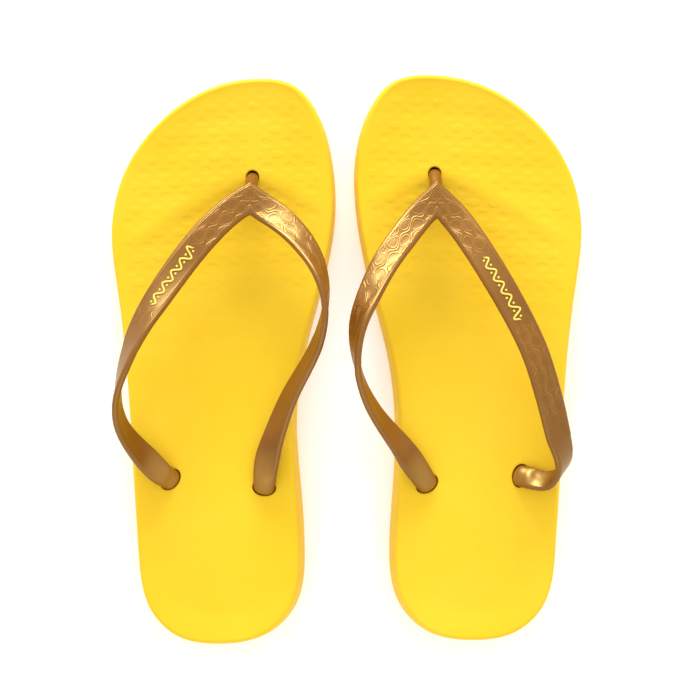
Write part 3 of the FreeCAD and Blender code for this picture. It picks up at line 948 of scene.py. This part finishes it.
def add_arm(build, shoe, arm, hole, shared, mitre):
    """One arm with its button under the sole; returns its first ring, which is mitre if given."""
    points, gilt_and_highlight, _ = arm_rings(shoe, arm, hole, shared)
    rings = [build.add(points[0], gilt_and_highlight[0]) if mitre is None else mitre]
    for ring, ring_gilt_and_highlight in zip(points[1:], gilt_and_highlight[1:]):
        rings.append(build.add(ring, ring_gilt_and_highlight))
    angle = np.arctan2(points[-1][:, 1] - hole[1], points[-1][:, 0] - hole[0])
    top = POCKET_DEPTH - BUTTON_CLEARANCE
    for radius, depth in (BUTTON_COLLAR, *BUTTON_PROFILE):
        u = hole[0] + radius * np.cos(angle)
        v = hole[1] + radius * np.sin(angle)
        rings.append(build.add(np.column_stack([u, v, np.full(len(angle), top - depth)])))
    turn = 1 if arm == "medial" else -1  # the arms mirror each other, and so do their faces
    build.bands(rings, turn)
    middle = build.add([[*hole, top - BUTTON_MIDDLE]])[0]
    build.fan(rings[-1][::turn], middle)
    return rings[0]


def make_strap(shoe):
    build = Build()
    holes = {arm: hole_of(shoe, f"anchor_{arm}") for arm in ARMS}
    medial, lateral = (arm_rings(shoe, arm, holes[arm])[2] for arm in ARMS)
    shared = (medial + lateral) / 2
    mitre = None
    for arm in ARMS:
        mitre = add_arm(build, shoe, arm, holes[arm], shared, mitre)
    # "line" says how gilded the vinyl is on its raised lines, and also carries a painted highlight
    # round the arms' ends
    strap = build.object(f"{shoe}_strap_moulding", SIDES[shoe], "line")
    covered = ("strap_medial", "strap_lateral", "anchor_medial", "anchor_lateral")
    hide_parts(*(f"{shoe}_{n}" for n in covered))
    return strap


POST_POINTS = 40
POST_RINGS = 48
POST_FOOT = (3.2, 3.0)  # half its width and depth on top of its button
POST_HALF_WIDTH = 2.55
POST_WIDENING = 0.25
POST_HALF_DEPTH = 2.15
POST_KNEE_Z = 12.2  # it leans back from here
POST_SET_FORWARD = 3.0  # it meets the strap this far in front of the strap's middle
POST_SINK = 0.6
POST_BOW = 0.6


def post_path(shoe, hole, top):
    """The post's centre line, up through the sole to the strap's underside, and its upper end."""
    apex_u, apex_v, apex_z = ROUTES[shoe, "medial"][0][:3]
    low = np.array([*hole, top])
    knee = np.array([*hole, POST_KNEE_Z])
    head = np.array([apex_u, apex_v + POST_SET_FORWARD, apex_z - POST_SINK])
    bowed = (knee + head) / 2 + np.array([0, POST_BOW, 0.0])
    return Curve([low, (low + knee) / 2, knee, bowed, head]), head


def make_toe_post(shoe):
    """The post between the toes, from its button up to the strap."""
    build = Build()
    hole = hole_of(shoe, "toe_post")
    base = float(floor_height(np.array([hole[1]]))[0])
    top = base + POCKET_DEPTH - BUTTON_CLEARANCE
    angle = round_angles(POST_POINTS)
    stations = [(radius, radius, top - depth) for radius, depth in reversed(BUTTON_PROFILE)]
    stations.append((*POST_FOOT, top))
    rings = []
    for a, b, z in stations:
        u = hole[0] + a * np.cos(angle)
        v = hole[1] + b * np.sin(angle)
        rings.append(build.add(np.column_stack([u, v, np.full(POST_POINTS, z)])))
    path, head = post_path(shoe, hole, top)
    across = np.array([1.0, 0.0, 0.0])
    for share in np.linspace(0, 1, POST_RINGS)[1:]:
        t = np.array([share * path.length])
        direction = path.slope(t)[0]
        direction /= np.linalg.norm(direction)
        fore = np.cross(direction, across)
        fore /= np.linalg.norm(fore)
        a = POST_HALF_WIDTH + POST_WIDENING * share
        ring = path.at(t)[0] + across * (a * np.cos(angle))[:, None]
        rings.append(build.add(ring + fore * (POST_HALF_DEPTH * np.sin(angle))[:, None]))
    build.bands(rings)
    build.fan(rings[0][::-1], build.add([[*hole, top - BUTTON_MIDDLE]])[0])
    build.fan(rings[-1], build.add([head])[0])
    post = build.object(f"{shoe}_toe_post_moulding", SIDES[shoe])
    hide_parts(f"{shoe}_toe_post")
    return post


# --- the raised mark
MOTIF_WAVES = 5
MOTIF_STEPS = 260
BEAD_POINTS = 14
BEAD_SIZE = (0.40, 0.48)  # half its width and height
BEAD_LIFT = 0.12
BEAD_THIN = 0.25  # share of its size that is left at its tips
BEAD_TIP = 0.03
SWING = 1.45  # the wave swings this far to each side
SWING_MORE = 1.1  # and further by this at its tall end
SWING_TALL = (0.72, 0.95)
SWING_TIP = 0.05
DOT_POINTS = 16
DOT_OFFSET = 1.75 * 0.45
DOT_LIFT = 0.05
DOT_RADIUS = 0.52
DOT_HEIGHT = 0.50
DOT_LEVELS = np.linspace(-0.5, 0.9, 8) * math.pi / 2
DOT_BOTTOM = 0.4


def fading(f, tip):
    """1 along a line from 0 to 1, falling to 0 over a tip at each end."""
    return smooth(0, tip, f) * smooth(1, 1 - tip, f)


def add_bead(build, surface, tall_last):
    """A wavy raised line, which swings further at its last or its first end."""
    line = []
    for f in np.linspace(0, 1, MOTIF_STEPS):
        toward_tall = f if tall_last else 1 - f
        swing = SWING + SWING_MORE * smooth(*SWING_TALL, toward_tall)
        across = swing * math.sin(2 * math.pi * MOTIF_WAVES * f) * fading(f, SWING_TIP)
        line.append(surface(f, across, BEAD_LIFT))
    middles = np.array([p for p, _, _ in line])
    along = np.gradient(middles, axis=0)
    along /= np.linalg.norm(along, axis=1)[:, None]
    angle = round_angles(BEAD_POINTS)
    rings = []
    for i, (p, _, n) in enumerate(line):
        across = np.cross(n, along[i])
        across /= np.linalg.norm(across)
        fat = BEAD_THIN + (1 - BEAD_THIN) * fading(i / (MOTIF_STEPS - 1), BEAD_TIP)
        ring = p + across * (BEAD_SIZE[0] * fat * np.cos(angle))[:, None]
        rings.append(build.add(ring + n * (BEAD_SIZE[1] * fat * np.sin(angle))[:, None]))
    build.bands(rings)
    build.fan(rings[0][::-1], build.add([middles[0] - along[0] * 0.1])[0])
    build.fan(rings[-1], build.add([middles[-1] + along[-1] * 0.1])[0])


def add_dot(build, p, w, n):
    """A small dome at p, with w across the band and n outwards."""
    t = np.cross(w, n)
    angle = round_angles(DOT_POINTS)
    rings = []
    for level in DOT_LEVELS:
        radius = DOT_RADIUS * math.cos(level)
        ring = p + w * (radius * np.cos(angle))[:, None] + t * (radius * np.sin(angle))[:, None]
        rings.append(build.add(ring + n * (DOT_HEIGHT * math.sin(level))))
    build.bands(rings, -1)
    build.fan(rings[0], build.add([p - n * DOT_BOTTOM])[0])
    build.fan(rings[-1][::-1], build.add([p + n * DOT_HEIGHT])[0])


def make_motif(shoe):
    """A raised wave with dots in its bends, on the lateral arm's outer face."""
    hole = hole_of(shoe, "anchor_lateral")
    centre, wide, normal, _, s, arm_length = arm_frames(shoe, "lateral", hole)
    start = MOTIF_START * arm_length
    length = MOTIF_END * arm_length - start

    def surface(share, across, lift):
        """A point over the outer face, and the face's width direction and normal there."""
        along = start + length * share
        p, w, n = (
            np.array([np.interp(along, s, table[:, k]) for k in range(3)])
            for table in (centre, wide, normal)
        )
        return p + w * across + n * (BAND_THICKNESS / 2 + lift), w, n

    build = Build()
    add_bead(build, surface, shoe == "right")
    for k in range(MOTIF_WAVES * 2):
        spot = -DOT_OFFSET if k % 2 == 0 else DOT_OFFSET
        add_dot(build, *surface((k + 0.5) / (MOTIF_WAVES * 2), spot, DOT_LIFT))
    mark = build.object(f"{shoe}_strap_mark", SIDES[shoe])
    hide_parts(f"{shoe}_strap_motif")
    return mark


# --- materials
def material(name):
    """A new material with its nodes, links, shader and the object's own coordinates."""
    m = bpy.data.materials.new(name)
    m.use_nodes = True
    nodes = m.node_tree.nodes
    where = nodes.new("ShaderNodeTexCoord").outputs["Object"]
    return m, nodes, m.node_tree.links, nodes["Principled BSDF"], where


def noise(nodes, links, coordinate, scale, detail=3.0):
    n = nodes.new("ShaderNodeTexNoise")
    n.inputs["Scale"].default_value = scale
    n.inputs["Detail"].default_value = detail
    links.new(coordinate, n.inputs["Vector"])
    return n.outputs["Fac"]


def ramp(nodes, links, value, stops):
    r = nodes.new("ShaderNodeValToRGB")
    while len(r.color_ramp.elements) < len(stops):
        r.color_ramp.elements.new(0.5)
    for element, (at, colour) in zip(r.color_ramp.elements, stops):
        element.position = at
        element.color = (*colour, 1)
    links.new(value, r.inputs["Fac"])
    return r.outputs["Color"]


def bump(nodes, links, height, strength, distance, base=None):
    b = nodes.new("ShaderNodeBump")
    b.inputs["Strength"].default_value = strength
    b.inputs["Distance"].default_value = distance
    links.new(height, b.inputs["Height"])
    if base is not None:
        links.new(base, b.inputs["Normal"])
    return b.outputs["Normal"]


def spread_to(nodes, links, value, low, high):
    """A value from 0 to 1 turned into one from low to high."""
    r = nodes.new("ShaderNodeMapRange")
    r.inputs["To Min"].default_value = low
    r.inputs["To Max"].default_value = high
    links.new(value, r.inputs["Value"])
    return r.outputs["Result"]


def mixed(nodes, links, kind, factor, first, second):
    """Two colours mixed; factor and second may be numbers or sockets."""
    m = nodes.new("ShaderNodeMix")
    m.data_type = "RGBA"
    m.blend_type = kind
    for socket, value in ((m.inputs["Factor"], factor), (m.inputs[6], first), (m.inputs[7], second)):
        if isinstance(value, (float, tuple)):
            socket.default_value = value
        else:
            links.new(value, socket)
    return m.outputs[2]


def sole_material():
    m, nodes, links, shader, where = material("yellow_foamed_vinyl")
    cloud = noise(nodes, links, where, 24.0, 4.0)
    tone = ramp(nodes, links, cloud, [(0.3, (0.86, 0.540, 0.018)), (0.7, (0.90, 0.580, 0.030))])
    links.new(tone, shader.inputs["Base Color"])
    grain = noise(nodes, links, where, 2600.0, 2.0)
    pores = noise(nodes, links, where, 900.0, 2.0)
    skin = bump(nodes, links, grain, 0.12, 0.0002)
    skin = bump(nodes, links, pores, 0.10, 0.0004, skin)
    links.new(skin, shader.inputs["Normal"])
    links.new(spread_to(nodes, links, cloud, 0.46, 0.58), shader.inputs["Roughness"])
    shader.inputs["Specular IOR Level"].default_value = 0.07
    return m


def strap_material():
    m, nodes, links, shader, where = material("gold_bronze_vinyl")
    cloud = noise(nodes, links, where, 60.0, 3.0)
    flakes = noise(nodes, links, where, 3200.0, 1.0)
    line = nodes.new("ShaderNodeAttribute")
    line.attribute_name = "line"
    tone = ramp(nodes, links, cloud, [(0.3, (0.190, 0.054, 0.007)), (0.7, (0.235, 0.070, 0.010))])
    flake_tone = ramp(nodes, links, flakes, [(0.35, (0.84, 0.84, 0.84)), (0.75, (1.2, 1.15, 1.1))])
    speckled = mixed(nodes, links, "MULTIPLY", 1.0, tone, flake_tone)
    # The attribute mixes in a lighter gold: the raised lines' gilt, and a painted highlight round the
    # arms' ends
    gilt_and_painted_highlight = mixed(nodes, links, "MIX", line.outputs["Fac"], speckled, (0.46, 0.24, 0.035, 1.0))
    links.new(gilt_and_painted_highlight, shader.inputs["Base Color"])
    links.new(spread_to(nodes, links, flakes, 0.30, 0.40), shader.inputs["Roughness"])
    links.new(bump(nodes, links, flakes, 0.10, 0.0001), shader.inputs["Normal"])
    shader.inputs["Metallic"].default_value = 0.22
    shader.inputs["IOR"].default_value = 1.8
    shader.inputs["Specular IOR Level"].default_value = 0.65
    shader.inputs["Specular Tint"].default_value = (1.0, 0.88, 0.32, 1)
    return m


def motif_material():
    m, nodes, links, shader, where = material("pale_yellow_vinyl")
    cloud = noise(nodes, links, where, 700.0, 3.0)
    tone = ramp(nodes, links, cloud, [(0.3, (0.90, 0.66, 0.085)), (0.7, (0.96, 0.76, 0.14))])
    links.new(tone, shader.inputs["Base Color"])
    links.new(bump(nodes, links, cloud, 0.08, 0.0002), shader.inputs["Normal"])
    shader.inputs["Roughness"].default_value = 0.38
    return m


def floor_material():
    m, nodes, links, shader, where = material("pale_floor")
    cloud = noise(nodes, links, where, 3.0, 2.0)
    tone = ramp(nodes, links, cloud, [(0.3, (0.90, 0.90, 0.90)), (0.7, (0.92, 0.92, 0.92))])
    links.new(tone, shader.inputs["Base Color"])
    shader.inputs["Roughness"].default_value = 0.8
    shader.inputs["Emission Color"].default_value = (1, 1, 1, 1)
    shader.inputs["Emission Strength"].default_value = 0.14
    return m


SOLE = sole_material()
STRAP = strap_material()
MARK = motif_material()


for shoe in SIDES:
    rear, fore = f"{shoe}_rear", f"{shoe}_fore"
    sole = make_sole(shoe)
    sole.data.materials.append(SOLE)
    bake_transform(sole)
    for piece, look in ((make_strap(shoe), STRAP), (make_motif(shoe), MARK)):
        piece.data.materials.append(look)
        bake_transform(piece)
    post = make_toe_post(shoe)
    post.data.materials.append(STRAP)
    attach(post, fore)


# --- floor and light
def make_floor():
    mesh = bpy.data.meshes.new("floor")
    size = 4.0
    corners = [(-size, -size, 0), (size, -size, 0), (size, size, 0), (-size, size, 0)]
    mesh.from_pydata(corners, [], [(0, 1, 2, 3)])
    floor = bpy.data.objects.new("floor", mesh)
    bpy.context.scene.collection.objects.link(floor)
    floor.data.materials.append(floor_material())


LAMP_AIM = Vector((0, 0, 0.02))


def add_softbox(name, location, size, power, gloss_only=False):
    """A rectangular lamp that faces the shoes; gloss_only keeps it to their shine."""
    data = bpy.data.lights.new(name, "AREA")
    data.shape = "RECTANGLE"
    data.size, data.size_y = size
    data.energy = power
    lamp = bpy.data.objects.new(name, data)
    lamp.location = location
    lamp.rotation_euler = (LAMP_AIM - Vector(location)).to_track_quat("-Z", "Y").to_euler()
    lamp.visible_camera = False
    lamp.visible_diffuse = not gloss_only
    bpy.context.scene.collection.objects.link(lamp)


def make_world():
    world = bpy.data.worlds.new("studio")
    world.use_nodes = True
    world.node_tree.nodes["Background"].inputs["Color"].default_value = (1, 1, 1, 1)
    world.node_tree.nodes["Background"].inputs["Strength"].default_value = 0.97
    bpy.context.scene.world = world


make_floor()
add_softbox("softbox_toes", (0.0, 1.92, 0.62), (1.30, 0.40), 36.0)
add_softbox("softbox_glint", (-0.62, 1.76, 0.66), (0.80, 0.50), 30.0, gloss_only=True)
add_softbox("softbox_heels", (0.0, -1.20, 1.60), (2.00, 1.20), 9.0)
make_world()
bpy.context.scene.view_settings.view_transform = "Standard"
